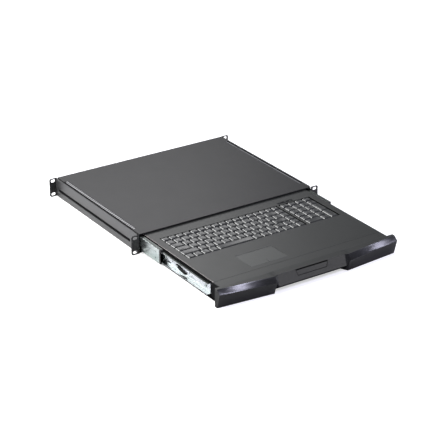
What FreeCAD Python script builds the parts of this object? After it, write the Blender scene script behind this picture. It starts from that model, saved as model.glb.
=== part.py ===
import FreeCAD, Part
import math
import os

from FreeCAD import Vector as V

# Rack console drawer, one unit high: a keyboard and touchpad drawer on ball-bearing
# slides in a 19 inch housing, with a keyboard-video-mouse switch at the rear.
# Millimetres. X points right, +Y to the rear of the rack, +Z up. The origin is the
# centre of the four front ear holes, on the rear face of the front ears.
# The drawer is drawn pulled out by DRAWER_OUT.

# ---- rack interface ----
EAR_HALF_WIDTH = 241.3
EAR_HOLE_X = 465.1 / 2
EAR_HOLE_Z = 31.75 / 2
EAR_SLOT_LENGTH = 10.5
EAR_SLOT_RADIUS = 3.5
EAR_CORNER_RADIUS = 4.0
UNIT_HALF_HEIGHT = 21.8
BRACKET_SHEET = 2.0
BRACKET_REAR = 358.5

# ---- housing ----
HOUSING_HALF_WIDTH = 222.5
HOUSING_SHEET = 1.2
PAN_REAR = 355.0
FLANGE_TOP = 19.8
FLANGE_SHEET = 0.8
LID_TOP = 22.0
LID_SHEET = 1.0
LID_HALF_WIDTH = 220.5
STRIP_FRONT = 28.0
STRIP_REAR = 325.0

# ---- slides ----
SLIDE_SHEET = 1.0
OUTER_WEB_X = HOUSING_HALF_WIDTH - HOUSING_SHEET
OUTER_HALF_HEIGHT = 18.9
MIDDLE_WEB_X = 219.3
MIDDLE_HALF_HEIGHT = 16.0
INNER_TIP_X = 217.0
INNER_HALF_HEIGHT = 12.0
RAIL_TIP_X = 211.5
OUTER_BALL = 1.3
OUTER_BALL_X = 215.5
OUTER_BALL_Z = MIDDLE_HALF_HEIGHT + 0.95
INNER_BALL = 1.7
INNER_BALL_X = 214.0
INNER_BALL_Z = INNER_HALF_HEIGHT + 1.5
BALL_CLEARANCE = 0.05
CAGE_SHEET = 0.5
OUTER_SPAN = (4.0, 350.0)
MIDDLE_SPAN = (-75.0, 260.0)
INNER_SPAN = (-252.0, 40.0)
OUTER_CAGE_SPAN = (55.0, 205.0)
INNER_CAGE_SPAN = (-64.0, 36.0)
LEVER_PIVOT = (-133.0, 0.5)
LEVER_THICK = 2.2

# ---- drawer ----
DRAWER_OUT = 285.8
BEZEL_BACK = -1.0 - DRAWER_OUT
TRAY_HALF_WIDTH = 208.5
TRAY_SHEET = 1.2
TRAY_FRONT = BEZEL_BACK
TRAY_REAR = 43.0
TRAY_BOTTOM = -20.0
DECK_TOP = 18.0
DECK_SHEET = 1.0
SEAM_Y = -262.0
RIB_HALF = 12.0
RIB_ROOF = -12.4
NOTCH_DEPTH = 19.0

# ---- keyboard ----
KEY_UNIT = 19.05
KEY_GAP = 1.2
KEY_TOP = 18.8
KEY_HEIGHT = 4.2
KEY_DEPTH = 17.4
FUNCTION_KEY_DEPTH = 13.4
ROW_PITCH = 18.7
FUNCTION_ROW_Y = -43.5
MAIN_LEFT = -191.5
PAD_LEFT = 111.6
PAD_PITCH = 19.7
WELL_REAR = -34.6
WELL_FRONT = -147.4
MAIN_WELL = (MAIN_LEFT - 1.3, MAIN_LEFT + 15.5 * KEY_UNIT + 1.2)
PAD_WELL = (PAD_LEFT - 2.2, PAD_LEFT + 4 * PAD_PITCH + 2.4)
WINDOW = (113.0, 152.0, -31.5, -24.0)
FRAME_FLOOR = 12.0
MAIN_ROWS = {
    "number_row_keys": (1, [1] * 13 + [1.5, 1]),
    "upper_row_keys": (2, [1.5] + [1] * 12 + [1, 1]),
    "home_row_keys": (3, [1.75] + [1] * 11 + [1.75, 1]),
    "lower_row_keys": (4, [2.25] + [1] * 10 + [1.25, 1, 1]),
}
SPACE_LEFT = MAIN_LEFT + 4 * KEY_UNIT
SPACE_WIDTH = 4.7 * KEY_UNIT

# ---- touchpad, as x and y limits ----
TOUCHPAD = (-108.5, -19.0, -248.0, -190.0)
BUTTON_REAR = -234.9
TOUCH_THICK = 2.2

# ---- rear panel ----
PORT_PITCH = 38.0
PORT_FIRST_X = -186.0
PORT_COUNT = 8
PORT_Z = 2.0
PORT_SCREW_REACH = 12.5
CONSOLE_X = 120.0
USB_X = 150.0
JACK_X = 174.0
RESET_X = 194.0
PANEL_FACE = PAN_REAR + HOUSING_SHEET
BOARD_FRONT = 338.0
BOARD_REAR = BOARD_FRONT + 1.6

# ---- bezel, as (y, z) sections at three places along it ----
BEZEL_HALF_WIDTH = 222.0
BEZEL_WALL = 2.4
WING_END = [
    (BEZEL_BACK, -21.5),
    (-295.0, -21.5),
    (-304.0, 11.0),
    (-293.5, 19.2),
    (BEZEL_BACK, 19.2),
]
WING_INNER = [
    (BEZEL_BACK, -21.5),
    (-306.5, -21.5),
    (-313.5, 4.5),
    (-307.0, 17.0),
    (BEZEL_BACK, DECK_TOP),
]
MIDDLE = [
    (BEZEL_BACK, -21.5),
    (-291.0, -21.5),
    (-311.0, -6.0),
    (-303.5, 17.2),
    (BEZEL_BACK, DECK_TOP),
]
WING_INNER_X = 92.0
MIDDLE_X = 84.0

# ---- latch in the bezel's sloping middle face ----
FACE_TOP = V(0, MIDDLE[3][0], MIDDLE[3][1])
FACE_FOOT = V(0, MIDDLE[2][0], MIDDLE[2][1])
DOWN_FACE = (FACE_FOOT - FACE_TOP).normalize()
INTO_FACE = V(0, -DOWN_FACE.z, DOWN_FACE.y)
POCKET_HALF_TOP = 40.8
POCKET_HALF_FOOT = 36.0
POCKET_START = 0.7
POCKET_END = 14.5
PADDLE_HALF_TOP = 39.0
PADDLE_HALF_FOOT = 35.2
PADDLE_START = 3.4
PADDLE_END = 13.4
PADDLE_THICK = 3.0
PADDLE_SKIN = 1.4
PIVOT = FACE_TOP + DOWN_FACE * 12.0 + INTO_FACE * 3.6
PIN_RADIUS = 1.0
CHEEK_RADIUS = 2.0
CHEEK_SPAN = (8.5, 11.5)
POCKET_SPAN = (4.3, 12.1)
ARM_HALF = 4.0

SIDES = {"left": -1, "right": 1}


def box(x0, x1, y0, y1, z0, z1):
    """Block between two opposite corners."""
    return Part.makeBox(x1 - x0, y1 - y0, z1 - z0, V(x0, y0, z0))


def rod(radius, start, end):
    """Round bar from one point to another."""
    start = V(*start)
    line = V(*end) - start
    return Part.makeCylinder(radius, line.Length, start, line)


def prism(corners, extrude):
    """Straight prism on a closed outline of corner points."""
    points = [V(*corner) for corner in corners]
    face = Part.Face(Part.makePolygon(points + points[:1]))
    return face.extrude(V(*extrude))


def along_x(outline, x0, x1):
    """Prism along X from an outline of (y, z) corners."""
    return prism([(x0, y, z) for y, z in outline], (x1 - x0, 0, 0))


def along_y(outline, y0, y1):
    """Prism along Y from an outline of (x, z) corners."""
    return prism([(x, y0, z) for x, z in outline], (0, y1 - y0, 0))


def join(shapes):
    """One solid from several that touch or overlap."""
    return shapes[0].multiFuse(shapes[1:]).removeSplitter()


def round_edges(shape, radius, wanted):
    """Fillet the edges for which wanted(edge) is true."""
    edges = [edge for edge in shape.Edges if wanted(edge)]
    return shape.makeFillet(radius, edges)


def runs_along(edge, axis):
    """True for a straight edge parallel to the axis 'x', 'y' or 'z'."""
    if len(edge.Vertexes) < 2:
        return False
    span = edge.Vertexes[1].Point - edge.Vertexes[0].Point
    return abs(abs(getattr(span, axis)) - span.Length) < 1e-6


def on_side(side, shape):
    """A right-hand shape as it is, or mirrored to the left."""
    if side > 0:
        return shape
    return shape.mirror(V(0, 0, 0), V(1, 0, 0))


def both_sides(shape):
    """A right-hand shape and its mirror image."""
    return [shape, on_side(-1, shape)]


def save(name, solids):
    """Write the solids of one node to its STEP file."""
    if not isinstance(solids, list):
        solids = [solids]
    shape = solids[0] if len(solids) == 1 else Part.makeCompound(solids)
    shape.exportStep("parts/" + name + ".step")


# ---------------------------------------------------------------- rack bracket


def rack_ear(y0):
    """Ear plate with two slots for rack screws, outer corners rounded."""
    y1 = y0 + BRACKET_SHEET
    ear = box(HOUSING_HALF_WIDTH, EAR_HALF_WIDTH, y0, y1, -UNIT_HALF_HEIGHT, UNIT_HALF_HEIGHT)
    ear = round_edges(
        ear,
        EAR_CORNER_RADIUS,
        lambda edge: runs_along(edge, "y") and edge.Vertexes[0].X > EAR_HALF_WIDTH - 1,
    )
    reach = EAR_SLOT_LENGTH / 2 - EAR_SLOT_RADIUS
    for z in (-EAR_HOLE_Z, EAR_HOLE_Z):
        for x in (EAR_HOLE_X - reach, EAR_HOLE_X + reach):
            ear = ear.cut(rod(EAR_SLOT_RADIUS, (x, y0 - 1, z), (x, y1 + 1, z)))
        ear = ear.cut(
            box(
                EAR_HOLE_X - reach,
                EAR_HOLE_X + reach,
                y0 - 1,
                y1 + 1,
                z - EAR_SLOT_RADIUS,
                z + EAR_SLOT_RADIUS,
            )
        )
    return ear


def rack_bracket(side):
    """Side bracket: a long web with a slot, and an ear bent out at each end."""
    web_top = 21.2
    slot_low, slot_high = -8.1, -1.3
    slot_front, slot_rear = 32.0, 345.0
    notch_y, notch_z = 5.0, 15.0
    inner = HOUSING_HALF_WIDTH
    outer = inner + BRACKET_SHEET
    web = box(inner, outer, -BRACKET_SHEET, BRACKET_REAR, -UNIT_HALF_HEIGHT, web_top)
    radius = (slot_high - slot_low) / 2
    middle = (slot_high + slot_low) / 2
    slot = box(inner - 1, outer + 1, slot_front + radius, slot_rear - radius, slot_low, slot_high)
    for y in (slot_front + radius, slot_rear - radius):
        slot = slot.fuse(rod(radius, (inner - 1, y, middle), (outer + 1, y, middle)))
    relief = box(inner - 1, outer + 1, 0, notch_y, notch_z, web_top + 1)
    web = web.cut(slot).cut(relief)
    ears = [rack_ear(-BRACKET_SHEET), rack_ear(BRACKET_REAR - BRACKET_SHEET)]
    return on_side(side, join([web] + ears))


# --------------------------------------------------------------------- housing


def slide_rivet_places():
    """Rivets of the outer slide members, (y, z) on each side wall."""
    return [(y, 0.0) for y in (24.0, 132.0, 240.0, 336.0)]


def base_pan():
    """Folded pan: floor, two side walls and an inward flange on each wall."""
    floor_top = -UNIT_HALF_HEIGHT + HOUSING_SHEET
    flange_tip = 212.0
    inner = HOUSING_HALF_WIDTH - HOUSING_SHEET
    outline = [
        (-HOUSING_HALF_WIDTH, -UNIT_HALF_HEIGHT),
        (HOUSING_HALF_WIDTH, -UNIT_HALF_HEIGHT),
        (HOUSING_HALF_WIDTH, FLANGE_TOP),
        (flange_tip, FLANGE_TOP),
        (flange_tip, FLANGE_TOP - FLANGE_SHEET),
        (inner, FLANGE_TOP - FLANGE_SHEET),
        (inner, floor_top),
    ]
    mirrored = [(-x, z) for x, z in reversed(outline[2:])]
    pan = along_y(outline + mirrored, 0.3, PAN_REAR)
    for x in range(-150, 151, 25):
        for y in (250.0, 290.0):
            vent = box(x - 8, x + 8, y, y + 3, -UNIT_HALF_HEIGHT - 1, floor_top + 1)
            pan = pan.cut(vent)
    for y, z in slide_rivet_places():
        for side in (-1, 1):
            hole = rod(2.0, (side * (inner - 2), y, z), (side * (HOUSING_HALF_WIDTH + 1), y, z))
            pan = pan.cut(hole)
    return pan


def lid():
    """Cover: flat top, front and rear lips, and a lowered strip along each side."""
    under = LID_TOP - LID_SHEET
    rear = PANEL_FACE + LID_SHEET
    slit_x, strip_x, strip_tip = 211.5, 212.4, 217.6
    strip_tip_top = FLANGE_TOP + LID_SHEET
    plate = box(-LID_HALF_WIDTH, LID_HALF_WIDTH, 0, rear, under, LID_TOP)
    front_lip = box(-210, 210, 0, LID_SHEET, 19.6, under)
    rear_lip = box(-216, 216, PANEL_FACE, rear, 15.0, under)
    parts = [plate, front_lip, rear_lip]
    lip_x = LID_HALF_WIDTH - LID_SHEET
    for y0, y1 in ((0, STRIP_FRONT), (STRIP_REAR, PAN_REAR)):
        parts += both_sides(box(lip_x, LID_HALF_WIDTH, y0, y1, FLANGE_TOP, under))
    cover = join(parts)
    for edge in both_sides(
        box(slit_x, LID_HALF_WIDTH + 1, STRIP_FRONT, STRIP_REAR, under - 1, LID_TOP + 1)
    ):
        cover = cover.cut(edge)
    outline = [
        (strip_x, under),
        (strip_x, LID_TOP),
        (strip_tip, strip_tip_top),
        (strip_tip, FLANGE_TOP),
    ]
    strips = both_sides(along_y(outline, STRIP_FRONT, STRIP_REAR))
    cover = join([cover] + strips)
    for x in lid_screw_places():
        cover = cover.cut(rod(1.6, (x, PAN_REAR, 18.0), (x, rear + 1, 18.0)))
    return cover


def lid_screw_places():
    """X of the screws through the lid's rear lip."""
    return [-200.0, -100.0, 0.0, 100.0, 200.0]


def lid_screws():
    """Pan-head screws through the rear lip into the rear panel."""
    rear = PANEL_FACE + LID_SHEET
    screws = []
    for x in lid_screw_places():
        head = rod(2.9, (x, rear, 18.0), (x, rear + 1.6, 18.0))
        cross = box(x - 1.6, x + 1.6, rear + 0.8, rear + 2, 17.7, 18.3)
        cross = cross.fuse(box(x - 0.3, x + 0.3, rear + 0.8, rear + 2, 16.4, 19.6))
        shank = rod(1.45, (x, PAN_REAR - 3, 18.0), (x, rear, 18.0))
        screws.append(join([head.cut(cross), shank]))
    return screws


def port_places():
    """X of every 15-pin socket: the computer ports, then the console port."""
    computers = [PORT_FIRST_X + n * PORT_PITCH for n in range(PORT_COUNT)]
    return computers + [CONSOLE_X]


def shield_outline(x, half_width, half_height):
    """Five-cornered D outline of a 15-pin socket, narrower at the bottom."""
    slope = 1.0
    return [
        (x - half_width, PORT_Z + half_height),
        (x + half_width, PORT_Z + half_height),
        (x + half_width - slope, PORT_Z - half_height),
        (x - half_width + slope, PORT_Z - half_height),
    ]


def port_shield(x):
    """Metal D shell of one socket, open at the rear, with its flange plate."""
    tip = PANEL_FACE + 5.6
    shell = along_y(shield_outline(x, 8.6, 4.4), PAN_REAR - 1.0, tip)
    shell = shell.cut(along_y(shield_outline(x, 8.0, 3.8), PAN_REAR - 2.0, tip + 1))
    flange = box(x - 15.4, x + 15.4, PAN_REAR - 1.0, PAN_REAR - 0.05, PORT_Z - 6.2, PORT_Z + 6.2)
    flange = flange.cut(along_y(shield_outline(x, 8.0, 3.8), PAN_REAR - 2.0, tip))
    for dx in (-PORT_SCREW_REACH, PORT_SCREW_REACH):
        flange = flange.cut(rod(1.6, (x + dx, PAN_REAR - 2, PORT_Z), (x + dx, tip, PORT_Z)))
    return join([shell, flange])


def port_insert(x):
    """Plastic block in a socket, with three rows of five pin holes."""
    face = PANEL_FACE + 4.8
    block = along_y(shield_outline(x, 7.95, 3.75), 344.0, face)
    for row, z in enumerate((PORT_Z + 2.0, PORT_Z, PORT_Z - 2.0)):
        for n in range(5):
            pin_x = x - 4.6 + n * 2.29 + (0.6 if row == 1 else 0.0)
            block = block.cut(rod(0.5, (pin_x, face - 4, z), (pin_x, face + 1, z)))
    return block


def jack_screws():
    """Hexagon stand-offs, two beside each socket."""
    screws = []
    for x in port_places():
        for dx in (-PORT_SCREW_REACH, PORT_SCREW_REACH):
            corners = []
            for n in range(6):
                turn = math.radians(60 * n)
                corners.append((x + dx + 2.7 * math.cos(turn), PORT_Z + 2.7 * math.sin(turn)))
            nut = along_y(corners, PANEL_FACE, PANEL_FACE + 5.0)
            nut = nut.cut(rod(1.3, (x + dx, PANEL_FACE + 1, PORT_Z), (x + dx, PANEL_FACE + 6, PORT_Z)))
            shank = rod(1.5, (x + dx, PAN_REAR - 3, PORT_Z), (x + dx, PANEL_FACE, PORT_Z))
            screws.append(join([nut, shank]))
    return screws


def rear_panel():
    """Flat rear wall with a cut-out for each connector."""
    inner = HOUSING_HALF_WIDTH - HOUSING_SHEET
    panel = box(-inner, inner, PAN_REAR, PANEL_FACE, -UNIT_HALF_HEIGHT, 20.9)
    for x in port_places():
        panel = panel.cut(along_y(shield_outline(x, 8.8, 4.6), PAN_REAR - 1, PANEL_FACE + 1))
        for dx in (-PORT_SCREW_REACH, PORT_SCREW_REACH):
            hole = rod(1.6, (x + dx, PAN_REAR - 1, PORT_Z), (x + dx, PANEL_FACE + 1, PORT_Z))
            panel = panel.cut(hole)
    panel = panel.cut(
        box(USB_X - 7.4, USB_X + 7.4, PAN_REAR - 1, PANEL_FACE + 1, PORT_Z - 8.2, PORT_Z + 8.2)
    )
    panel = panel.cut(rod(5.2, (JACK_X, PAN_REAR - 1, PORT_Z), (JACK_X, PANEL_FACE + 1, PORT_Z)))
    panel = panel.cut(rod(2.6, (RESET_X, PAN_REAR - 1, PORT_Z), (RESET_X, PANEL_FACE + 1, PORT_Z)))
    for x in lid_screw_places():
        panel = panel.cut(rod(1.5, (x, PAN_REAR - 1, 18.0), (x, PANEL_FACE + 1, 18.0)))
    return panel


def usb_socket():
    """Two stacked console sockets in one metal can, with their tongues."""
    rear = PANEL_FACE + 0.8
    can = box(USB_X - 7.2, USB_X + 7.2, 342.0, rear, PORT_Z - 8.0, PORT_Z + 8.0)
    for z in (PORT_Z - 4.0, PORT_Z + 4.0):
        mouth = box(USB_X - 6.4, USB_X + 6.4, rear - 9, rear + 1, z - 2.6, z + 2.6)
        tongue = box(USB_X - 5.6, USB_X + 5.6, rear - 9, rear - 1, z + 0.2, z + 2.0)
        can = can.cut(mouth).fuse(tongue)
    return can.removeSplitter()


def power_jack():
    """Round direct-current inlet with its centre pin."""
    rear = PANEL_FACE + 1.2
    body = box(JACK_X - 7, JACK_X + 7, 342.0, PAN_REAR - 0.1, PORT_Z - 6, PORT_Z + 6)
    collar = rod(5.0, (JACK_X, PAN_REAR - 0.2, PORT_Z), (JACK_X, rear, PORT_Z))
    bore = rod(2.9, (JACK_X, rear - 9, PORT_Z), (JACK_X, rear + 1, PORT_Z))
    pin = rod(1.0, (JACK_X, rear - 9.5, PORT_Z), (JACK_X, rear - 1.5, PORT_Z))
    return body.fuse(collar).cut(bore).fuse(pin).removeSplitter()


def reset_button():
    """Small round push button through the rear panel."""
    cap = rod(2.4, (RESET_X, PAN_REAR - 3.0, PORT_Z), (RESET_X, PANEL_FACE + 1.5, PORT_Z))
    skirt = rod(3.4, (RESET_X, PAN_REAR - 3.0, PORT_Z), (RESET_X, PAN_REAR - 1.2, PORT_Z))
    return join([cap, skirt])


def switch_board():
    """Upright circuit board behind the rear panel."""
    return box(-206, 206, BOARD_FRONT, BOARD_REAR, -18.5, 16.0)


def switch_board_parts():
    """Switching chips and capacitors on the rear face of the board."""
    solids = []
    for n in range(PORT_COUNT):
        x = PORT_FIRST_X + n * PORT_PITCH
        solids.append(box(x - 5, x + 5, BOARD_REAR, BOARD_REAR + 1.6, -16.0, -8.0))
        solids.append(rod(3.0, (x + 13, BOARD_REAR, -12), (x + 13, BOARD_REAR + 4, -12)))
    solids.append(box(CONSOLE_X - 8, CONSOLE_X + 8, BOARD_REAR, BOARD_REAR + 1.8, -17.0, -6.5))
    button_rear = PAN_REAR - 4.2
    solids.append(box(RESET_X - 4, RESET_X + 4, BOARD_REAR, button_rear, PORT_Z - 4, PORT_Z + 4))
    return solids


def catch_plate():
    """Angle on the floor with the upright edge that the drawer's hook drops behind."""
    floor = -UNIT_HALF_HEIGHT + HOUSING_SHEET
    half, front, rear, tab_top = 9.0, 3.0, 16.0, -14.8
    base = box(-half, half, front, rear, floor, floor + HOUSING_SHEET)
    tab = box(-half, half, front, front + HOUSING_SHEET, floor, tab_top)
    plate = join([base, tab])
    return round_edges(
        plate,
        1.5,
        lambda edge: runs_along(edge, "y") and edge.Vertexes[0].Z > tab_top - 0.5,
    )


# ---------------------------------------------------------------------- slides


def channel(web_outer, tip, half_height, y0, y1, opens_in):
    """Right-hand C section along Y; its web faces out, or in if opens_in is false."""
    if opens_in:
        web = box(web_outer - SLIDE_SHEET, web_outer, y0, y1, -half_height, half_height)
        low_x, high_x = tip, web_outer
    else:
        web = box(web_outer, web_outer + SLIDE_SHEET, y0, y1, -half_height, half_height)
        low_x, high_x = web_outer, tip
    top = box(low_x, high_x, y0, y1, half_height - SLIDE_SHEET, half_height)
    bottom = box(low_x, high_x, y0, y1, -half_height, -half_height + SLIDE_SHEET)
    section = join([web, top, bottom])
    return round_edges(
        section,
        0.9,
        lambda edge: runs_along(edge, "y")
        and abs(edge.Vertexes[0].X - web_outer) < 0.01
        and abs(abs(edge.Vertexes[0].Z) - half_height) < 0.01,
    )


def cut_race(shape, ball_x, ball_z, ball_radius, y0, y1):
    """Ball grooves above and below the slide's centre line."""
    radius = ball_radius + BALL_CLEARANCE
    for z in (-ball_z, ball_z):
        shape = shape.cut(rod(radius, (ball_x, y0 - 1, z), (ball_x, y1 + 1, z)))
    return shape


def slide_outer(side):
    """Outer member, riveted inside the housing wall."""
    y0, y1 = OUTER_SPAN
    member = channel(OUTER_WEB_X, RAIL_TIP_X, OUTER_HALF_HEIGHT, y0, y1, True)
    member = cut_race(member, OUTER_BALL_X, OUTER_BALL_Z, OUTER_BALL, y0, y1)
    for y, z in slide_rivet_places():
        member = member.cut(rod(2.0, (OUTER_WEB_X - 3, y, z), (OUTER_WEB_X + 1, y, z)))
    return on_side(side, member)


def slide_middle(side):
    """Middle member, carried on the outer balls."""
    y0, y1 = MIDDLE_SPAN
    member = channel(MIDDLE_WEB_X, RAIL_TIP_X, MIDDLE_HALF_HEIGHT, y0, y1, True)
    member = cut_race(member, OUTER_BALL_X, OUTER_BALL_Z, OUTER_BALL, y0, y1)
    member = cut_race(member, INNER_BALL_X, INNER_BALL_Z, INNER_BALL, y0, y1)
    holes = ((-62.0, -7.0, 1.7), (-62.0, 7.0, 1.1), (-20.0, 0.0, 2.2), (90.0, 0.0, 2.2), (230.0, 0.0, 2.2))
    for y, z, radius in holes:
        member = member.cut(rod(radius, (MIDDLE_WEB_X - 3, y, z), (MIDDLE_WEB_X + 1, y, z)))
    return on_side(side, member)


def middle_bumper(side):
    """Plastic end cap on the front of a middle member."""
    y1 = MIDDLE_SPAN[0]
    y0 = y1 - 4.0
    cap = box(RAIL_TIP_X, MIDDLE_WEB_X, y0, y1, -MIDDLE_HALF_HEIGHT, MIDDLE_HALF_HEIGHT)
    cap = cap.cut(box(RAIL_TIP_X - 1, MIDDLE_WEB_X - 1.6, y0 - 1, y1 + 1, -12.7, 12.7))
    cap = round_edges(
        cap,
        0.8,
        lambda edge: runs_along(edge, "y") and abs(abs(edge.Vertexes[0].Z) - MIDDLE_HALF_HEIGHT) < 0.01,
    )
    return on_side(side, cap)


def inner_rivet_places():
    """Rivets that fix an inner member to the tray wall, (y, z)."""
    return [(y, 0.0) for y in (-236.0, -84.0, 26.0)]


def slide_inner(side):
    """Inner member on the tray's side wall, open outward."""
    y0, y1 = INNER_SPAN
    member = channel(TRAY_HALF_WIDTH, INNER_TIP_X, INNER_HALF_HEIGHT, y0, y1, False)
    member = cut_race(member, INNER_BALL_X, INNER_BALL_Z, INNER_BALL, y0, y1)
    reach = TRAY_HALF_WIDTH + 3
    for y, z in inner_rivet_places():
        member = member.cut(rod(2.0, (TRAY_HALF_WIDTH - 1, y, z), (reach, y, z)))
    small_holes = ((-176.0, 2.5, 1.5), (-184.0, -3.0, 1.2), (-191.0, -3.0, 1.2), (-112.0, 3.5, 1.8))
    for y, z, radius in small_holes:
        member = member.cut(rod(radius, (TRAY_HALF_WIDTH - 1, y, z), (reach, y, z)))
    slot = box(TRAY_HALF_WIDTH - 1, reach, -106.0, -92.0, -6.0, -3.0)
    return on_side(side, member.cut(slot))


def inner_rivets():
    """Domed rivets through the inner members and the tray walls."""
    solids = []
    face = TRAY_HALF_WIDTH + SLIDE_SHEET
    for y, z in inner_rivet_places():
        shank = rod(1.95, (TRAY_HALF_WIDTH - TRAY_SHEET - 0.6, y, z), (face, y, z))
        head = rod(3.6, (face, y, z), (face + 1.3, y, z))
        head = head.makeFillet(1.0, [edge for edge in head.Edges if edge.Vertexes[0].X > face + 1])
        solids += both_sides(join([shank, head]))
    return solids


def outer_rivets():
    """Flush rivets through the outer members and the housing walls."""
    solids = []
    for y, z in slide_rivet_places():
        body = rod(1.95, (OUTER_WEB_X - SLIDE_SHEET, y, z), (HOUSING_HALF_WIDTH, y, z))
        solids += both_sides(body)
    return solids


def cage(web_outer, tip, height, span, ball_x, ball_radius):
    """Thin ball retainer with a round window for each ball."""
    y0, y1 = span
    inner = web_outer - CAGE_SHEET
    half = CAGE_SHEET / 2
    parts = [box(inner, web_outer, y0, y1, -height - half, height + half)]
    for z in (-height, height):
        parts.append(box(tip, web_outer, y0, y1, z - half, z + half))
    retainer = join(parts)
    window = ball_radius + 0.12
    for y in ball_rows(span, ball_radius):
        for z in (-height, height):
            retainer = retainer.cut(rod(window, (ball_x, y, z - 2), (ball_x, y, z + 2)))
    return retainer


def ball_rows(span, ball_radius):
    """Y of every ball in a cage."""
    y0, y1 = span
    pitch = 5.0 * ball_radius + 1.0
    count = int((y1 - y0 - 2 * pitch) / pitch) + 1
    return [y0 + pitch + n * pitch for n in range(count)]


def balls(span, ball_x, ball_z, ball_radius):
    """Steel balls of one slide, above and below its centre line."""
    solids = []
    for y in ball_rows(span, ball_radius):
        for z in (-ball_z, ball_z):
            solids.append(Part.makeSphere(ball_radius, V(ball_x, y, z)))
    return solids


def write_bearings(side_name, side):
    """Ball cages and balls of one side."""
    outer = cage(MIDDLE_WEB_X + 0.75, 213.0, OUTER_BALL_Z, OUTER_CAGE_SPAN, OUTER_BALL_X, OUTER_BALL)
    inner_web = (MIDDLE_WEB_X - SLIDE_SHEET + INNER_TIP_X + CAGE_SHEET) / 2
    inner = cage(inner_web, 211.9, INNER_BALL_Z, INNER_CAGE_SPAN, INNER_BALL_X, INNER_BALL)
    outer_balls = balls(OUTER_CAGE_SPAN, OUTER_BALL_X, OUTER_BALL_Z, OUTER_BALL)
    inner_balls = balls(INNER_CAGE_SPAN, INNER_BALL_X, INNER_BALL_Z, INNER_BALL)
    save("ball_cage_outer_" + side_name, on_side(side, outer))
    save("ball_cage_inner_" + side_name, on_side(side, inner))
    save("balls_outer_" + side_name, [on_side(side, ball) for ball in outer_balls])
    save("balls_inner_" + side_name, [on_side(side, ball) for ball in inner_balls])


def release_lever(side):
    """Flat lever in the inner member's channel, with a round head and a finger tail."""
    face = TRAY_HALF_WIDTH + SLIDE_SHEET + 0.2
    pivot_y, pivot_z = LEVER_PIVOT
    outline = [
        (pivot_y + 5.0, -1.5),
        (pivot_y + 5.0, 4.0),
        (pivot_y - 6.0, 4.0),
        (pivot_y - 14.0, 0.5),
        (pivot_y - 30.0, -2.5),
        (pivot_y - 33.0, -6.5),
        (pivot_y - 24.0, -7.5),
        (pivot_y - 6.0, -4.5),
    ]
    lever = along_x(outline, face, face + LEVER_THICK)
    lever = round_edges(lever, 1.2, lambda edge: runs_along(edge, "x"))
    bore = rod(1.6, (face - 1, pivot_y, pivot_z), (face + 4, pivot_y, pivot_z))
    return on_side(side, lever.cut(bore))


def lever_pins():
    """Shouldered pins that the release levers turn on."""
    face = TRAY_HALF_WIDTH + SLIDE_SHEET
    shoulder = face + LEVER_THICK + 0.4
    y, z = LEVER_PIVOT
    shank = rod(1.55, (face, y, z), (shoulder, y, z))
    head = rod(2.6, (shoulder, y, z), (shoulder + 0.8, y, z))
    return both_sides(join([shank, head]))


# ---------------------------------------------------------------------- drawer


def tray_pan():
    """Drawer pan: ribbed floor with a small outward hem, side, front and rear walls."""
    hem_x = 211.0
    front_wall_top = 12.0
    tab_tip, tab_low, tab_high = 219.0, -16.0, 14.0
    floor_top = TRAY_BOTTOM + TRAY_SHEET
    wall_top = DECK_TOP - DECK_SHEET
    inner = TRAY_HALF_WIDTH - TRAY_SHEET
    parts = [box(-hem_x, hem_x, TRAY_FRONT, TRAY_REAR, TRAY_BOTTOM, floor_top)]
    parts += both_sides(box(inner, TRAY_HALF_WIDTH, TRAY_FRONT, TRAY_REAR, TRAY_BOTTOM, wall_top))
    parts.append(
        box(-TRAY_HALF_WIDTH, TRAY_HALF_WIDTH, TRAY_REAR - TRAY_SHEET, TRAY_REAR, TRAY_BOTTOM, wall_top)
    )
    front_rear = TRAY_FRONT + TRAY_SHEET
    parts.append(
        box(-TRAY_HALF_WIDTH, TRAY_HALF_WIDTH, TRAY_FRONT, front_rear, TRAY_BOTTOM, front_wall_top)
    )
    parts.append(box(-RIB_HALF, RIB_HALF, TRAY_FRONT, TRAY_REAR, TRAY_BOTTOM, RIB_ROOF))
    tab = box(TRAY_HALF_WIDTH - 1, tab_tip, TRAY_FRONT, front_rear, tab_low, tab_high)
    tab = tab.cut(rod(2.2, (215.0, TRAY_FRONT - 1, 7.5), (215.0, front_rear + 1, 7.5)))
    tab = tab.cut(box(214.0, tab_tip + 1, TRAY_FRONT - 1, front_rear + 1, tab_low - 1, -8.0))
    parts += both_sides(tab)
    pan = join(parts)
    pan = pan.cut(box(-210, 210, TRAY_FRONT - 1, SEAM_Y + 0.4, 15.4, wall_top + 1))
    tunnel = RIB_HALF - TRAY_SHEET
    pan = pan.cut(
        box(-tunnel, tunnel, TRAY_FRONT - 1, TRAY_REAR + 1, TRAY_BOTTOM - 1, RIB_ROOF - TRAY_SHEET)
    )
    pan = pan.cut(
        box(-tunnel, tunnel, TRAY_FRONT - 1, TRAY_FRONT + NOTCH_DEPTH, TRAY_BOTTOM - 1, 4.0)
    )
    for x in bezel_screw_places():
        pan = pan.cut(rod(1.7, (x, TRAY_FRONT - 1, 0), (x, front_rear + 1, 0)))
    reach = TRAY_HALF_WIDTH + 1
    for y, z in inner_rivet_places():
        for side in (-1, 1):
            pan = pan.cut(rod(2.0, (side * (inner - 1), y, z), (side * reach, y, z)))
    pan = pan.cut(box(-30, 30, TRAY_REAR - 3, TRAY_REAR + 1, -6.0, 2.0))
    return pan


def key_well(left, right):
    """Rectangular hole for a block of keys, through the deck."""
    return box(left, right, WELL_FRONT, WELL_REAR, 5.0, 25.0)


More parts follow.
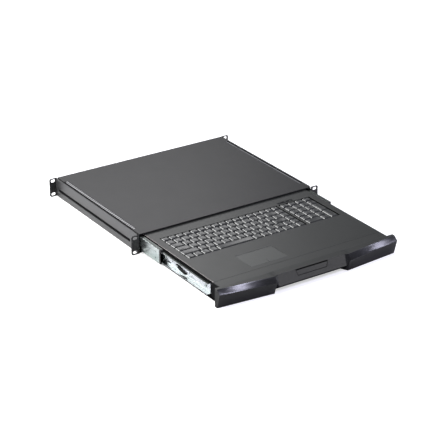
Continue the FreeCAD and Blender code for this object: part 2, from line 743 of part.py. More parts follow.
def top_plate():
    """Deck of the drawer: keyboard surround and palm rest."""
    deck = box(-TRAY_HALF_WIDTH, TRAY_HALF_WIDTH, SEAM_Y + 0.5, TRAY_REAR, DECK_TOP - DECK_SHEET, DECK_TOP)
    deck = deck.cut(key_well(*MAIN_WELL)).cut(key_well(*PAD_WELL))
    x0, x1, y0, y1 = TOUCHPAD
    deck = deck.cut(box(x0 - 0.3, x1 + 0.3, y0 - 0.3, y1 + 0.3, 16.0, 20.0))
    x0, x1, y0, y1 = WINDOW
    deck = deck.cut(box(x0 - 0.15, x1 + 0.15, y0 - 0.15, y1 + 0.15, 16.0, 20.0))
    return deck


def touchpad():
    """Touch surface let into the palm rest, on its carrier, with two button switches."""
    x0, x1, y0, y1 = TOUCHPAD
    under = DECK_TOP - TOUCH_THICK
    plate = box(x0, x1, BUTTON_REAR + 0.5, y1, under, DECK_TOP - 0.35)
    carrier = box(x0 + 3, x1 - 3, y0 + 3, y1 - 3, DECK_TOP - 6.5, DECK_TOP - 5.0)
    rib = box(x0 + 3, x1 - 3, BUTTON_REAR + 3, y1 - 3, DECK_TOP - 5.0, under)
    return join([plate, carrier, rib])


def touchpad_button(side):
    """One of the two bars in front of the touch surface."""
    x0, x1, y0, _ = TOUCHPAD
    middle = (x0 + x1) / 2
    left, right = (x0, middle - 0.3) if side < 0 else (middle + 0.3, x1)
    under = DECK_TOP - TOUCH_THICK
    bar = box(left, right, y0, BUTTON_REAR, under, DECK_TOP)
    stem = box(left + 15, right - 15, y0 + 4.5, BUTTON_REAR - 4, DECK_TOP - 4.0, under)
    return join([bar, stem])


def indicator_window():
    """Dark strip over the lock indicators, with a seat for three lenses."""
    x0, x1, y0, y1 = WINDOW
    strip = box(x0, x1, y0, y1, DECK_TOP - 2.0, DECK_TOP + 0.25)
    for x in indicator_places():
        strip = strip.cut(rod(1.05, (x, (y0 + y1) / 2, DECK_TOP - 3), (x, (y0 + y1) / 2, DECK_TOP + 1)))
    return strip


def indicator_places():
    """X of the three lock indicators."""
    return [WINDOW[0] + 6.0 + n * 13.5 for n in range(3)]


def indicator_lenses():
    """Three light pipes through the indicator window."""
    y = (WINDOW[2] + WINDOW[3]) / 2
    return [rod(1.0, (x, y, DECK_TOP - 4), (x, y, DECK_TOP + 0.35)) for x in indicator_places()]


def keyboard_frame():
    """Moulded frame below the deck, a closed floor with two wells for the keys."""
    frame = box(-202.0, 202.0, -155.0, -20.0, FRAME_FLOOR - 0.8, DECK_TOP - DECK_SHEET)
    for left, right in (MAIN_WELL, PAD_WELL):
        well = box(left - 0.5, right + 0.5, WELL_FRONT - 0.5, WELL_REAR + 0.5, FRAME_FLOOR, 20.0)
        frame = frame.cut(well)
    x0, x1, y0, y1 = WINDOW
    return frame.cut(box(x0 - 1, x1 + 1, y0 - 1, y1 + 1, 10.0, 20.0))


def membrane_sheet():
    """Rubber switch sheet on the floor of both key wells."""
    sheets = []
    for left, right in (MAIN_WELL, PAD_WELL):
        sheets.append(box(left, right, WELL_FRONT, WELL_REAR, FRAME_FLOOR, FRAME_FLOOR + 0.4))
    return sheets


def keycap(x0, x1, y_middle, depth):
    """Low key with sloping sides; x0 to x1 is its share of the row."""
    gap = KEY_GAP / 2
    side_slope, front_slope, rear_slope = 1.9, 2.0, 1.2
    bottom_z = KEY_TOP - KEY_HEIGHT
    y0 = y_middle - depth / 2
    y1 = y_middle + depth / 2
    rings = []
    for z, side, front, rear in ((bottom_z, 0, 0, 0), (KEY_TOP, side_slope, front_slope, rear_slope)):
        corners = [
            V(x0 + gap + side, y0 + front, z),
            V(x1 - gap - side, y0 + front, z),
            V(x1 - gap - side, y1 - rear, z),
            V(x0 + gap + side, y1 - rear, z),
        ]
        rings.append(Part.makePolygon(corners + corners[:1]))
    return Part.makeLoft(rings, True, True)


def row_y(row):
    """Centre of a key row, row 0 being the function row."""
    return FUNCTION_ROW_Y - row * ROW_PITCH


def key_row(row, widths, left=MAIN_LEFT, unit=KEY_UNIT, depth=KEY_DEPTH):
    """One row of keycaps from their widths in key units."""
    caps = []
    x = left
    for width in widths:
        caps.append(keycap(x, x + width * unit, row_y(row), depth))
        x += width * unit
    return caps


def function_row_keys():
    """Thirteen function keys and four narrower ones to their right."""
    wide, narrow = 17.77, 16.1
    keys = key_row(0, [1] * 13, MAIN_LEFT, wide, FUNCTION_KEY_DEPTH)
    keys += key_row(0, [1] * 4, MAIN_LEFT + 13 * wide, narrow, FUNCTION_KEY_DEPTH)
    return keys


def bottom_row_keys():
    """Keys on both sides of the space bar."""
    right = SPACE_LEFT + SPACE_WIDTH
    return key_row(5, [1, 1, 1, 1]) + key_row(5, [1.1, 0.95, 1.05] + [0.925] * 4, right)


def space_bar():
    """The wide key of the bottom row."""
    return keycap(SPACE_LEFT, SPACE_LEFT + SPACE_WIDTH, row_y(5), KEY_DEPTH)


def number_pad_keys():
    """Number pad: a small top row, then five rows with two double-height keys."""
    keys = key_row(0, [1] * 4, PAD_LEFT, PAD_PITCH, FUNCTION_KEY_DEPTH)
    keys += key_row(1, [1] * 4, PAD_LEFT, PAD_PITCH)
    for row in (2, 3, 4):
        keys += key_row(row, [1] * 3, PAD_LEFT, PAD_PITCH)
    keys += key_row(5, [2, 1], PAD_LEFT, PAD_PITCH)
    tall = KEY_DEPTH + ROW_PITCH
    x = PAD_LEFT + 3 * PAD_PITCH
    for row in (2, 4):
        keys.append(keycap(x, x + PAD_PITCH, row_y(row) - ROW_PITCH / 2, tall))
    return keys


def keyboard_board():
    """Keyboard and touchpad controller board on the tray floor."""
    floor = TRAY_BOTTOM + TRAY_SHEET
    left, right, front, rear = -150.0, -30.0, -120.0, -60.0
    board = box(left, right, front, rear, floor + 5, floor + 6.6)
    for x in (left + 5, right - 5):
        for y in (front + 5, rear - 5):
            board = board.fuse(rod(3.0, (x, y, floor), (x, y, floor + 5.2)))
    return board.removeSplitter()


def keyboard_board_parts():
    """Controller chip, connectors and capacitors on that board."""
    top = TRAY_BOTTOM + TRAY_SHEET + 6.6
    chip = box(-102, -88, -98, -84, top, top + 1.6)
    connectors = [box(-70, -46, -74, -68, top, top + 5), box(-140, -110, -74, -69, top, top + 5)]
    capacitors = []
    for n in range(4):
        x = -130 + n * 9
        capacitors.append(rod(2.5, (x, -108, top), (x, -108, top + 5.5)))
    return [chip] + connectors + capacitors


# ----------------------------------------------------------- bezel and its latch

def bezel_stations():
    """The (x, outline) sections of the bezel from left to right."""
    right = [(MIDDLE_X, MIDDLE), (WING_INNER_X, WING_INNER), (BEZEL_HALF_WIDTH, WING_END)]
    left = [(-x, outline) for x, outline in reversed(right)]
    return left + right


def ring_at(x, outline, inset):
    """Closed outline in the plane of x, drawn in by a wall thickness."""
    points = [V(x, y, z) for y, z in outline]
    wire = Part.makePolygon(points + points[:1])
    if inset:
        wire = wire.makeOffset2D(-inset, 2, False, False, False)
    return wire


def bezel_body(inset, trim):
    """Solid through all the sections; inset draws it in, trim shortens both ends."""
    spans = []
    stations = bezel_stations()
    for (xa, outline_a), (xb, outline_b) in zip(stations, stations[1:]):
        if trim and abs(xa) == BEZEL_HALF_WIDTH:
            xa += trim
        if trim and abs(xb) == BEZEL_HALF_WIDTH:
            xb -= trim
        rings = [ring_at(xa, outline_a, inset), ring_at(xb, outline_b, inset)]
        spans.append(Part.makeLoft(rings, True, True))
    return join(spans)


def bezel_screw_places():
    """X of the screws from the tray's front wall into the bezel."""
    return [-190.0, -120.0, -50.0, 50.0, 120.0, 190.0]


def on_face(x, down, depth):
    """Point on the sloping front face: along the bezel, down the face, into it."""
    point = FACE_TOP + DOWN_FACE * down + INTO_FACE * depth
    return V(x, point.y, point.z)


def face_block(half_top, half_foot, start, end, depth0, depth1):
    """Tapered block let into the sloping front face."""
    corners = [
        on_face(-half_top, start, depth0),
        on_face(half_top, start, depth0),
        on_face(half_foot, end, depth0),
        on_face(-half_foot, end, depth0),
    ]
    face = Part.Face(Part.makePolygon(corners + corners[:1]))
    return face.extrude(INTO_FACE * (depth1 - depth0))


def front_bezel():
    """Hollow moulded front with two proud wings and a recessed middle."""
    shell = bezel_body(0.0, 0.0).cut(bezel_body(BEZEL_WALL, 4.0))
    back = box(-206.0, 206.0, BEZEL_BACK - 4.0, BEZEL_BACK + 1, -18.0, 14.0)
    shell = shell.cut(back)
    deck = box(-TRAY_HALF_WIDTH, TRAY_HALF_WIDTH, BEZEL_BACK - 1, SEAM_Y, DECK_TOP - 2.4, DECK_TOP)
    shell = join([shell, deck])
    pocket = face_block(
        POCKET_HALF_TOP, POCKET_HALF_FOOT, POCKET_START, POCKET_END, -2.0, 5.0
    )
    shell = shell.cut(pocket)
    outer = bezel_body(0.0, 0.0)
    for x in bezel_screw_places():
        boss = rod(3.6, (x, BEZEL_BACK - 30, 0), (x, BEZEL_BACK, 0)).common(outer)
        hole = rod(1.45, (x, BEZEL_BACK - 10, 0), (x, BEZEL_BACK + 1, 0))
        shell = shell.fuse(boss).cut(hole)
    for side in (-1, 1):
        shell = shell.fuse(on_side(side, pivot_cheek()))
    return shell.removeSplitter()


def pivot_cheek():
    """Lug below the pocket in the sloping face, with the hole for the latch pin."""
    x0, x1 = CHEEK_SPAN
    y, z = PIVOT.y, PIVOT.z
    outline = []
    for down, depth in ((10.8, 2.5), (14.6, 2.3), (17.0, 1.0)):
        corner = on_face(0, down, depth)
        outline.append((corner.y, corner.z))
    outline += [(y - 1.5, -10.0), (y + 6.0, -10.0), (y + 6.0, z + CHEEK_RADIUS)]
    outline.append((y, z + CHEEK_RADIUS))
    lug = along_x(outline, x0, x1).fuse(rod(CHEEK_RADIUS, (x0, y, z), (x1, y, z)))
    return lug.cut(rod(PIN_RADIUS + 0.05, (x0 - 1, y, z), (x1 + 1, y, z)))


def latch_paddle():
    """Trapezoid paddle with the hook arm behind it, one moulding."""
    paddle = face_block(
        PADDLE_HALF_TOP, PADDLE_HALF_FOOT, PADDLE_START, PADDLE_END, 0.3, PADDLE_THICK
    )
    x0, x1 = POCKET_SPAN
    middle = (x0 + x1) / 2
    reach = middle - x0
    pocket = face_block(reach, reach, PADDLE_START - 1, PADDLE_END + 1, PADDLE_SKIN, 9.0)
    for side in (-1, 1):
        paddle = paddle.cut(pocket.translated(V(side * middle, 0, 0)))
    arm_outline = [
        (-304.2, 9.4),
        (-301.6, 9.0),
        (-289.0, -4.6),
        (-272.0, -4.6),
        (-272.0, -8.6),
        (-279.4, -18.2),
        (-280.6, -18.2),
        (-280.6, -9.0),
        (-291.0, -9.0),
        (-304.4, 2.8),
    ]
    arm = along_x(arm_outline, -ARM_HALF, ARM_HALF)
    lever = join([paddle, arm])
    bore = rod(PIN_RADIUS + 0.05, (-ARM_HALF - 1, PIVOT.y, PIVOT.z), (ARM_HALF + 1, PIVOT.y, PIVOT.z))
    return lever.cut(bore)


def latch_pin():
    """Pin through the bezel's cheeks and the arm."""
    end = CHEEK_SPAN[1] + 0.5
    return rod(PIN_RADIUS, (-end, PIVOT.y, PIVOT.z), (end, PIVOT.y, PIVOT.z))


def latch_spring():
    """Torsion spring on the pin: a close coil as a sleeve, and its leg."""
    x0, x1 = ARM_HALF + 0.6, CHEEK_SPAN[0] - 0.6
    y, z = PIVOT.y, PIVOT.z
    coil = rod(1.95, (x0, y, z), (x1, y, z)).cut(rod(1.25, (x0 - 1, y, z), (x1 + 1, y, z)))
    leg_x = x1 - 0.5
    leg = rod(0.35, (leg_x, y + 1.6, z), (leg_x, y + 8.0, z - 4.0))
    return join([coil, leg])


def bezel_screws():
    """Screws through the tray's front wall into the bezel bosses."""
    rear = TRAY_FRONT + TRAY_SHEET
    screws = []
    for x in bezel_screw_places():
        head = rod(3.0, (x, rear, 0), (x, rear + 2.0, 0))
        shank = rod(1.4, (x, BEZEL_BACK - 8, 0), (x, rear, 0))
        screws.append(join([head, shank]))
    return screws


# ------------------------------------------------------------------- all nodes


def main():
    os.makedirs("parts", exist_ok=True)
    save("base_pan", base_pan())
    save("lid", lid())
    save("lid_screws", lid_screws())
    save("rear_panel", rear_panel())
    save("catch_plate", catch_plate())
    save("switch_board", switch_board())
    save("switch_board_parts", switch_board_parts())
    save("port_shields", [port_shield(x) for x in port_places()])
    save("port_inserts", [port_insert(x) for x in port_places()])
    save("jack_screws", jack_screws())
    save("usb_socket", usb_socket())
    save("power_jack", power_jack())
    save("reset_button", reset_button())
    save("outer_rivets", outer_rivets())
    for side_name, side in SIDES.items():
        save("rack_bracket_" + side_name, rack_bracket(side))
        save("slide_outer_" + side_name, slide_outer(side))
        save("slide_middle_" + side_name, slide_middle(side))
        save("middle_bumper_" + side_name, middle_bumper(side))
        save("slide_inner_" + side_name, slide_inner(side))
        save("release_lever_" + side_name, release_lever(side))
        write_bearings(side_name, side)
    save("inner_rivets", inner_rivets())
    save("lever_pins", lever_pins())
    save("tray_pan", tray_pan())
    save("top_plate", top_plate())
    save("touchpad", touchpad())
    save("touchpad_button_left", touchpad_button(-1))
    save("touchpad_button_right", touchpad_button(1))
    save("indicator_window", indicator_window())
    save("indicator_lenses", indicator_lenses())
    save("keyboard_frame", keyboard_frame())
    save("membrane_sheet", membrane_sheet())
    save("function_row_keys", function_row_keys())
    for name, (row, widths) in MAIN_ROWS.items():
        save(name, key_row(row, widths))
    save("bottom_row_keys", bottom_row_keys())
    save("space_bar", space_bar())
    save("number_pad_keys", number_pad_keys())
    save("keyboard_board", keyboard_board())
    save("keyboard_board_parts", keyboard_board_parts())
    save("front_bezel", front_bezel())
    save("latch_paddle", latch_paddle())
    save("latch_pin", latch_pin())
    save("latch_spring", latch_spring())
    save("bezel_screws", bezel_screws())


main()
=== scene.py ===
import math

import bmesh
import bpy
from mathutils import Matrix, Vector


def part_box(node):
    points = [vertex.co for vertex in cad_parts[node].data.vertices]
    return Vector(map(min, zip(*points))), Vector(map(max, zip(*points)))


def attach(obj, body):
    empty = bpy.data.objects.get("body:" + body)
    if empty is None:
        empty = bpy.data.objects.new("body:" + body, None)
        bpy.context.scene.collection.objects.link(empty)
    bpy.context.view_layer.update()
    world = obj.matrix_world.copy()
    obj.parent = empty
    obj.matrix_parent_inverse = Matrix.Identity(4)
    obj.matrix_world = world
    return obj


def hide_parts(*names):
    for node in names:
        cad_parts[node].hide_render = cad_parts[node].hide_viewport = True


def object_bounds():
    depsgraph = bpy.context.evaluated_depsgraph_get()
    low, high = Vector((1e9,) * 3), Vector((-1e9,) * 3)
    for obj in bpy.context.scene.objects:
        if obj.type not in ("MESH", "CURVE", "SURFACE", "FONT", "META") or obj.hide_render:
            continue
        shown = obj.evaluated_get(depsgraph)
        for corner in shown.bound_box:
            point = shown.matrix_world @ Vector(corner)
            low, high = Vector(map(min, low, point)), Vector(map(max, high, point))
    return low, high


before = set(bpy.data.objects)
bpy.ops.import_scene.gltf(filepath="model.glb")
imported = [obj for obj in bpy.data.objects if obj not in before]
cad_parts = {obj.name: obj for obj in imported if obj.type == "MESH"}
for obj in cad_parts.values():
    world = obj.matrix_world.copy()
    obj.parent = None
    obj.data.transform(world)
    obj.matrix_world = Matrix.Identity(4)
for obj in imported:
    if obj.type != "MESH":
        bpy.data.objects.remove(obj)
cad_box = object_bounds()


# ---- Studio: a white floor just under the housing and six soft panels of light round it.
# The flat tops and the keys' shoulders mirror the rear panels, the left and low front panels
# light the sides and the sloping front, and each wing of the bezel has a small panel of its own.

FLOOR_HALF_WIDTH = 14.0
FLOOR_GAP = 0.0002
FLOOR_GLOW = 0.55
AIR_LIGHT = 0.26
LENS = 130.5
CAMERA_PLACE = (-1.7555, -2.6128, 1.4640)
CAMERA_PITCH = math.radians(-25.05)
CAMERA_YAW = math.radians(33.686)

scene = bpy.context.scene
scene.view_settings.view_transform = "Standard"

floor_mesh = bmesh.new()
bmesh.ops.create_grid(floor_mesh, x_segments=1, y_segments=1, size=FLOOR_HALF_WIDTH)
bmesh.ops.translate(floor_mesh, verts=floor_mesh.verts, vec=(0, 0, cad_box[0].z - FLOOR_GAP))
floor = bpy.data.objects.new("studio_floor", bpy.data.meshes.new("studio_floor"))
floor_mesh.to_mesh(floor.data)
floor_mesh.free()
scene.collection.objects.link(floor)

floor_paint = bpy.data.materials.new("studio_floor_paint")
floor_paint.use_nodes = True
floor_shader = floor_paint.node_tree.nodes["Principled BSDF"]
floor_shader.inputs["Base Color"].default_value = (0.66, 0.66, 0.66, 1)
floor_shader.inputs["Roughness"].default_value = 0.9
floor_shader.inputs["Specular IOR Level"].default_value = 0.1
floor_shader.inputs["Emission Color"].default_value = (1.0, 1.0, 1.0, 1)
glow = floor_paint.node_tree.nodes.new("ShaderNodeMath")
glow.operation = "MULTIPLY"
glow.inputs[1].default_value = FLOOR_GLOW
light_path = floor_paint.node_tree.nodes.new("ShaderNodeLightPath")
floor_paint.node_tree.links.new(light_path.outputs["Is Camera Ray"], glow.inputs[0])
floor_paint.node_tree.links.new(glow.outputs[0], floor_shader.inputs["Emission Strength"])
floor.data.materials.append(floor_paint)

air = bpy.data.worlds.new("studio_air")
air.use_nodes = True
air.node_tree.nodes["Background"].inputs["Color"].default_value = (0.93, 0.96, 1.0, 1)
air.node_tree.nodes["Background"].inputs["Strength"].default_value = AIR_LIGHT
scene.world = air


def soft_panel(name, place, aim, width, height, watts, colour):
    """Rectangular soft light at place, facing the point aim."""
    light = bpy.data.lights.new(name, "AREA")
    light.shape = "RECTANGLE"
    light.size = width
    light.size_y = height
    light.energy = watts
    light.color = colour
    lamp = bpy.data.objects.new(name, light)
    lamp.location = place
    lamp.rotation_euler = (Vector(aim) - Vector(place)).to_track_quat("-Z", "Y").to_euler()
    lamp.visible_camera = False
    scene.collection.objects.link(lamp)


ROSE_WHITE = (1.0, 0.99, 1.0)
LAVENDER = (0.80, 0.79, 1.0)
soft_panel("rear_right_panel", (0.62, 1.72, 1.26), (-0.1, 0, 0), 1.15, 0.9, 9.2, ROSE_WHITE)
soft_panel("left_panel", (-0.95, -0.02, 1.05), (0, 0, 0), 0.8, 0.8, 23, (1.0, 1.0, 0.99))
soft_panel("low_front_panel", (1.25, -2.4, 0.2), (0, -0.3, 0), 1.4, 0.4, 4, ROSE_WHITE)
soft_panel("rear_left_panel", (-1.18, 1.55, 0.95), (-0.1, 0, 0), 1.0, 0.9, 40, (1.0, 1.0, 1.0))
soft_panel("left_wing_panel", (0.73, -1.73, 1.88), (-0.17, -0.3, 0), 0.42, 0.42, 33, LAVENDER)
soft_panel("right_wing_panel", (1.75, -1.43, 1.61), (0.17, -0.3, 0), 0.42, 0.42, 19, LAVENDER)

camera_data = bpy.data.cameras.new("camera")
camera_data.sensor_width = 36.0
camera_data.lens = LENS
camera_data.clip_start = 0.1
camera_data.clip_end = 60.0
camera = bpy.data.objects.new("camera", camera_data)
camera.location = CAMERA_PLACE
ahead = math.cos(CAMERA_PITCH)
sight = Vector((math.sin(CAMERA_YAW) * ahead, math.cos(CAMERA_YAW) * ahead, math.sin(CAMERA_PITCH)))
camera.rotation_mode = "QUATERNION"
camera.rotation_quaternion = sight.to_track_quat("-Z", "Y")
scene.collection.objects.link(camera)
scene.camera = camera


# ---- Housing: a folded steel pan with its lid, rear wall and the two rack brackets.
# Sheet of 1 to 2 mm, screwed together, with a black powder coat baked on. The coat has a fine
# orange-peel grain. The brackets' side faces carry a painted sheen, the lid's knurled strips a
# painted highlight, and the base pan a near-black as painted shade.

CLOUD_SCALE = 18.0
SHEET_EDGE = 0.0003
SCREW_EDGE = 0.00015
EAR_REACH = 0.015
STRIP_DROP = 0.0015
KNURL_SCALE = 45.0


def grain(tree, scale, detail, stretch=(1, 1, 1)):
    """Noise in the object's own coordinates, with an optional stretch."""
    place = tree.nodes.new("ShaderNodeTexCoord")
    mapping = tree.nodes.new("ShaderNodeMapping")
    mapping.inputs["Scale"].default_value = stretch
    noise = tree.nodes.new("ShaderNodeTexNoise")
    noise.inputs["Scale"].default_value = scale
    noise.inputs["Detail"].default_value = detail
    tree.links.new(place.outputs["Object"], mapping.inputs["Vector"])
    tree.links.new(mapping.outputs["Vector"], noise.inputs["Vector"])
    return noise


def spread(tree, noise, low, high):
    """Noise turned into a number between low and high."""
    ramp = tree.nodes.new("ShaderNodeMapRange")
    ramp.inputs["From Min"].default_value = 0.3
    ramp.inputs["From Max"].default_value = 0.7
    ramp.inputs["To Min"].default_value = low
    ramp.inputs["To Max"].default_value = high
    tree.links.new(noise.outputs["Fac"], ramp.inputs["Value"])
    return ramp.outputs["Result"]


def tint(tree, noise, dark, light):
    """Noise turned into a colour between two."""
    ramp = tree.nodes.new("ShaderNodeValToRGB")
    ramp.color_ramp.elements[0].position = 0.35
    ramp.color_ramp.elements[1].position = 0.65
    ramp.color_ramp.elements[0].color = (*dark, 1)
    ramp.color_ramp.elements[1].color = (*light, 1)
    tree.links.new(noise.outputs["Fac"], ramp.inputs["Fac"])
    return ramp.outputs["Color"]


def bump(tree, noise, depth, strength):
    """Surface relief from noise, depth in metres."""
    relief = tree.nodes.new("ShaderNodeBump")
    relief.inputs["Distance"].default_value = depth
    relief.inputs["Strength"].default_value = strength
    tree.links.new(noise.outputs["Fac"], relief.inputs["Height"])
    return relief.outputs["Normal"]


def surface(name, dark, light, rough, metal=0.0, specular=0.5, pore=1400.0, depth=3e-5):
    """Finish with clouded colour and roughness and a fine relief."""
    material = bpy.data.materials.new(name)
    material.use_nodes = True
    tree = material.node_tree
    shader = tree.nodes["Principled BSDF"]
    clouds = grain(tree, CLOUD_SCALE, 6.0)
    pores = grain(tree, pore, 3.0)
    tree.links.new(tint(tree, clouds, dark, light), shader.inputs["Base Color"])
    tree.links.new(spread(tree, clouds, *rough), shader.inputs["Roughness"])
    tree.links.new(bump(tree, pores, depth, 0.6), shader.inputs["Normal"])
    shader.inputs["Metallic"].default_value = metal
    shader.inputs["Specular IOR Level"].default_value = specular
    return material


def dress(node, material, edge, segments=2):
    """Gives a frame node its finish and rounds its edges by edge metres."""
    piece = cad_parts[node]
    piece.data.materials.clear()
    piece.data.materials.append(material)
    weld = piece.modifiers.new("weld", "WELD")
    weld.merge_threshold = 2e-6
    if edge:
        rounding = piece.modifiers.new("edges", "BEVEL")
        rounding.width = edge
        rounding.segments = segments
        rounding.limit_method = "ANGLE"
        rounding.angle_limit = math.radians(35)


def touch_up(node, material, chosen):
    """Lays a further finish on the faces of a dressed node that chosen picks."""
    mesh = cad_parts[node].data
    mesh.materials.append(material)
    for face in mesh.polygons:
        if chosen(face):
            face.material_index = len(mesh.materials) - 1


housing_coat = surface("housing_coat", (0.009, 0.009, 0.0095), (0.011, 0.011, 0.0115), (0.42, 0.45),
                       specular=0.42)
for node in ("lid", "rear_panel", "rack_bracket_left", "rack_bracket_right"):
    dress(node, housing_coat, SHEET_EDGE)
# Near-black with almost no sheen: painted shade, on the base pan where it shows through the brackets' slots,
# on the tray's walls above the slides and under the bezel.
painted_shade_black = surface("painted_shade_black", (0.004, 0.004, 0.0045), (0.006, 0.006, 0.0065), (0.60, 0.70), specular=0.05)
dress("base_pan", painted_shade_black, SHEET_EDGE)

# A lighter, shinier copy of the housing coat for the brackets' side faces: a painted sheen where the sides
# face the light.
painted_side_sheen_coat = surface("painted_side_sheen_coat", (0.026, 0.026, 0.027), (0.034, 0.034, 0.035), (0.34, 0.40),
                      specular=0.95)
ear_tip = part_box("rack_bracket_right")[1].x
for node in ("rack_bracket_left", "rack_bracket_right"):
    touch_up(node, painted_side_sheen_coat,
             lambda face: abs(face.normal.x) > 0.9 and abs(face.center.x) < ear_tip - EAR_REACH)

# The lid's pressed strips: dark knurl bands over a light grey, and the light grey is a painted highlight
# where the strips face the light.
knurled_painted_highlight_coat = surface("knurled_painted_highlight_coat", (0.20, 0.20, 0.205), (0.24, 0.24, 0.245), (0.34, 0.42), specular=0.6)
knurl_tree = knurled_painted_highlight_coat.node_tree
knurl_place = knurl_tree.nodes.new("ShaderNodeTexCoord")
knurl = knurl_tree.nodes.new("ShaderNodeTexWave")
knurl.bands_direction = "Y"
knurl.inputs["Scale"].default_value = KNURL_SCALE
knurl_tree.links.new(knurl_place.outputs["Object"], knurl.inputs["Vector"])
knurl_mix = knurl_tree.nodes.new("ShaderNodeMix")
knurl_mix.data_type = "RGBA"
knurl_mix.inputs[6].default_value = (0.004, 0.004, 0.0045, 1)
knurl_colour = knurl_tree.nodes["Principled BSDF"].inputs["Base Color"]
knurl_tree.links.new(knurl_colour.links[0].from_socket, knurl_mix.inputs[7])
knurl_tree.links.new(knurl.outputs["Fac"], knurl_mix.inputs["Factor"])
knurl_tree.links.new(knurl_mix.outputs[2], knurl_colour)
lid_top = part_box("lid")[1].z
touch_up("lid", knurled_painted_highlight_coat,
         lambda face: 0.5 < face.normal.z < 0.99 and face.center.z > lid_top - STRIP_DROP)

black_zinc = surface("black_zinc_screw", (0.03, 0.03, 0.032), (0.06, 0.06, 0.065), (0.3, 0.42), metal=0.7)
dress("lid_screws", black_zinc, SCREW_EDGE)


# ---- Slides: three-part ball-bearing slides, roll-formed from bright zinc-plated steel.
# The outer part is riveted in the housing and the inner part to the drawer's side, and the
# middle part runs between them on steel balls held in thin cages.

PAINTED_TOP_SHADE = (0.10, 0.11, 0.105)
ROLLED_EDGE = 0.00025
BUMPER_EDGE = 0.0002
LEVER_EDGE = 0.0003


def plated(name, dark, light, rough):
    """Zinc plate on rolled steel: bright metal with faint lines along the strip."""
    material = bpy.data.materials.new(name)
    material.use_nodes = True
    tree = material.node_tree
    shader = tree.nodes["Principled BSDF"]
    clouds = grain(tree, 60.0, 5.0, (1, 0.4, 1))
    lines = grain(tree, 900.0, 3.0, (1, 0.02, 1))
    tree.links.new(tint(tree, clouds, dark, light), shader.inputs["Base Color"])
    tree.links.new(spread(tree, lines, *rough), shader.inputs["Roughness"])
    tree.links.new(bump(tree, lines, 6e-6, 0.5), shader.inputs["Normal"])
    shader.inputs["Metallic"].default_value = 1.0
    return material


def paint_shade_on_tops(material):
    """Paints a dull grey over the faces of a finish that look up: painted shade on the upper faces."""
    tree = material.node_tree
    base = tree.nodes["Principled BSDF"].inputs["Base Color"]
    place = tree.nodes.new("ShaderNodeTexCoord")
    split = tree.nodes.new("ShaderNodeSeparateXYZ")
    upward = tree.nodes.new("ShaderNodeMapRange")
    upward.inputs["From Min"].default_value = 0.5
    upward.inputs["From Max"].default_value = 0.9
    mixer = tree.nodes.new("ShaderNodeMix")
    mixer.data_type = "RGBA"
    mixer.inputs[7].default_value = (*PAINTED_TOP_SHADE, 1)
    tree.links.new(place.outputs["Normal"], split.inputs["Vector"])
    tree.links.new(split.outputs["Z"], upward.inputs["Value"])
    tree.links.new(upward.outputs["Result"], mixer.inputs["Factor"])
    tree.links.new(base.links[0].from_socket, mixer.inputs[6])
    tree.links.new(mixer.outputs[2], base)


# Both zinc finishes get painted shade, a dull grey, on the faces that look up.
inner_zinc = plated("inner_zinc_plate", (0.60, 0.63, 0.67), (0.80, 0.82, 0.85), (0.22, 0.32))
paint_shade_on_tops(inner_zinc)
zinc_plate = plated("bright_zinc_plate", (0.40, 0.46, 0.45), (0.56, 0.60, 0.585), (0.24, 0.36))
paint_shade_on_tops(zinc_plate)
ball_steel = plated("polished_ball_steel", (0.7, 0.7, 0.72), (0.76, 0.76, 0.78), (0.06, 0.12))
black_moulding = surface("black_moulding", (0.018, 0.018, 0.019), (0.026, 0.026, 0.027), (0.42, 0.52))
# Near-black with little sheen: the release levers' own black, and painted shade on the keyboard frame.
black_and_gap_shade = surface("deep_black_moulding", (0.004, 0.004, 0.004), (0.006, 0.006, 0.006), (0.5, 0.6),
                     specular=0.12)
for side in ("left", "right"):
    dress("slide_outer_" + side, zinc_plate, ROLLED_EDGE)
    dress("slide_middle_" + side, zinc_plate, ROLLED_EDGE)
    dress("slide_inner_" + side, inner_zinc, ROLLED_EDGE)
    for ring in ("outer_", "inner_"):
        dress("ball_cage_" + ring + side, zinc_plate, 0)
        dress("balls_" + ring + side, ball_steel, 0)
    dress("middle_bumper_" + side, black_moulding, BUMPER_EDGE)
    dress("release_lever_" + side, black_and_gap_shade, LEVER_EDGE)
for node in ("catch_plate", "latch_spring", "latch_pin", "inner_rivets", "outer_rivets", "lever_pins"):
    dress(node, zinc_plate, 0)


# ---- Drawer: a folded steel tray with a flat deck spot-welded on top as the palm rest.
# The deck has a satin black powder coat, a little warmer and greener than the housing's, with a
# painted highlight along its two cut side edges.

SIDE_EDGE_DEPTH = 0.001

# The tray's pan takes the near-black: painted shade on its side walls above the slides.
dress("tray_pan", painted_shade_black, SHEET_EDGE)
drawer_coat = surface("drawer_coat", (0.014, 0.015, 0.014), (0.016, 0.017, 0.016), (0.40, 0.43))
dress("top_plate", drawer_coat, SHEET_EDGE)
# The deck's two cut side faces get a light pinkish grey: a painted highlight along the edges.
painted_edge_highlight = surface("painted_edge_highlight", (0.34, 0.31, 0.31), (0.44, 0.40, 0.40), (0.26, 0.34), specular=0.8)
deck_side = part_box("top_plate")[1].x - SIDE_EDGE_DEPTH
touch_up("top_plate", painted_edge_highlight, lambda face: abs(face.normal.x) > 0.9 and abs(face.center.x) > deck_side)


# ---- Keyboard: low keys with sloping sides over a moulded frame, in two wells of the deck.
# Satin black plastic with a fine moulded grain. Each cap is slightly dished, with a printed
# legend, and sits on a rubber membrane sheet in the frame.

